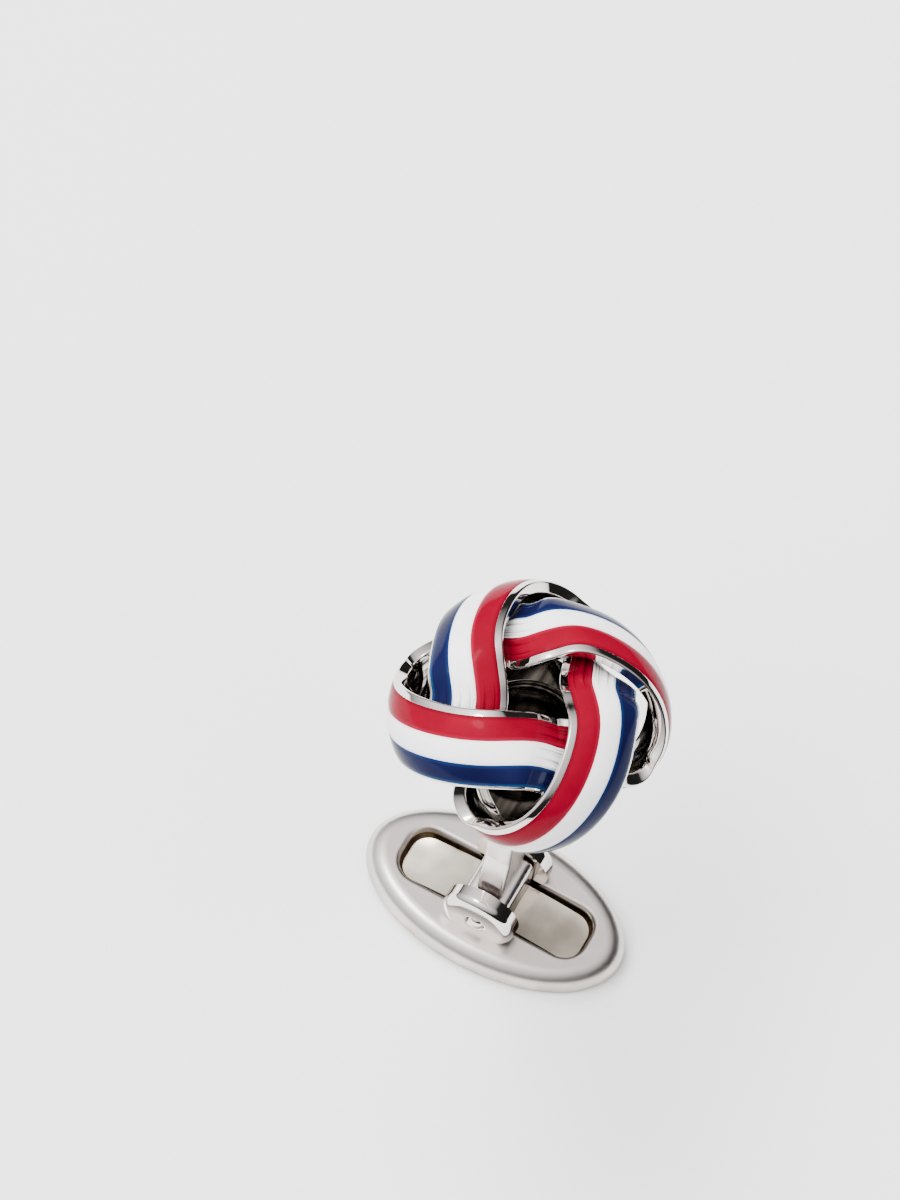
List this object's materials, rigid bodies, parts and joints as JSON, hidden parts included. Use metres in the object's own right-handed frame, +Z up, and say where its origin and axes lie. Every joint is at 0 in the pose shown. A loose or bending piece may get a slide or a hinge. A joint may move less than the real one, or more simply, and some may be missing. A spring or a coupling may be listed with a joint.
{
  "type": "knot cufflink",
  "caption": "Interlaced knot cufflink with striped enamel strips in polished metal, a flat post and an oval sprung back that swivels on a pin to pass through a shirt cuff.",
  "frame": {"origin": "centre of the back's flat underside, on which the cufflink stands", "axes": "+Z up the post to the knot, X along the oval back, Y along the hinge pin"},
  "size_m": [0.0142, 0.0136, 0.0275],
  "materials": {
    "rhodium_plate": "mirror polished",
    "red_enamel": "glossy",
    "white_enamel": "glossy",
    "blue_enamel": "glossy",
    "spring_steel": "bright rolled"
  },
  "bodies": {
    "head": {"strand_1": "rhodium_plate", "strand_2": "rhodium_plate", "strand_3": "rhodium_plate", "strand_4": "rhodium_plate", "red_enamel_1": "red_enamel", "red_enamel_2": "red_enamel", "red_enamel_3": "red_enamel", "red_enamel_4": "red_enamel", "white_enamel_1": "white_enamel", "white_enamel_2": "white_enamel", "white_enamel_3": "white_enamel", "white_enamel_4": "white_enamel", "blue_enamel_1": "blue_enamel", "blue_enamel_2": "blue_enamel", "blue_enamel_3": "blue_enamel", "blue_enamel_4": "blue_enamel", "knot_seat": "rhodium_plate", "post": "rhodium_plate"},
    "toggle": {"toggle_back": "rhodium_plate", "hinge_pin": "rhodium_plate", "leaf_spring": "spring_steel"}
  },
  "joints": [
    {"name": "toggle_hinge", "type": "hinge", "parent": "head", "child": "toggle", "pos_m": [0, 0, 0.00245], "axis": [0, 1, 0], "range_deg": [-90, 90], "deforming": ["leaf_spring"]}
  ]
}
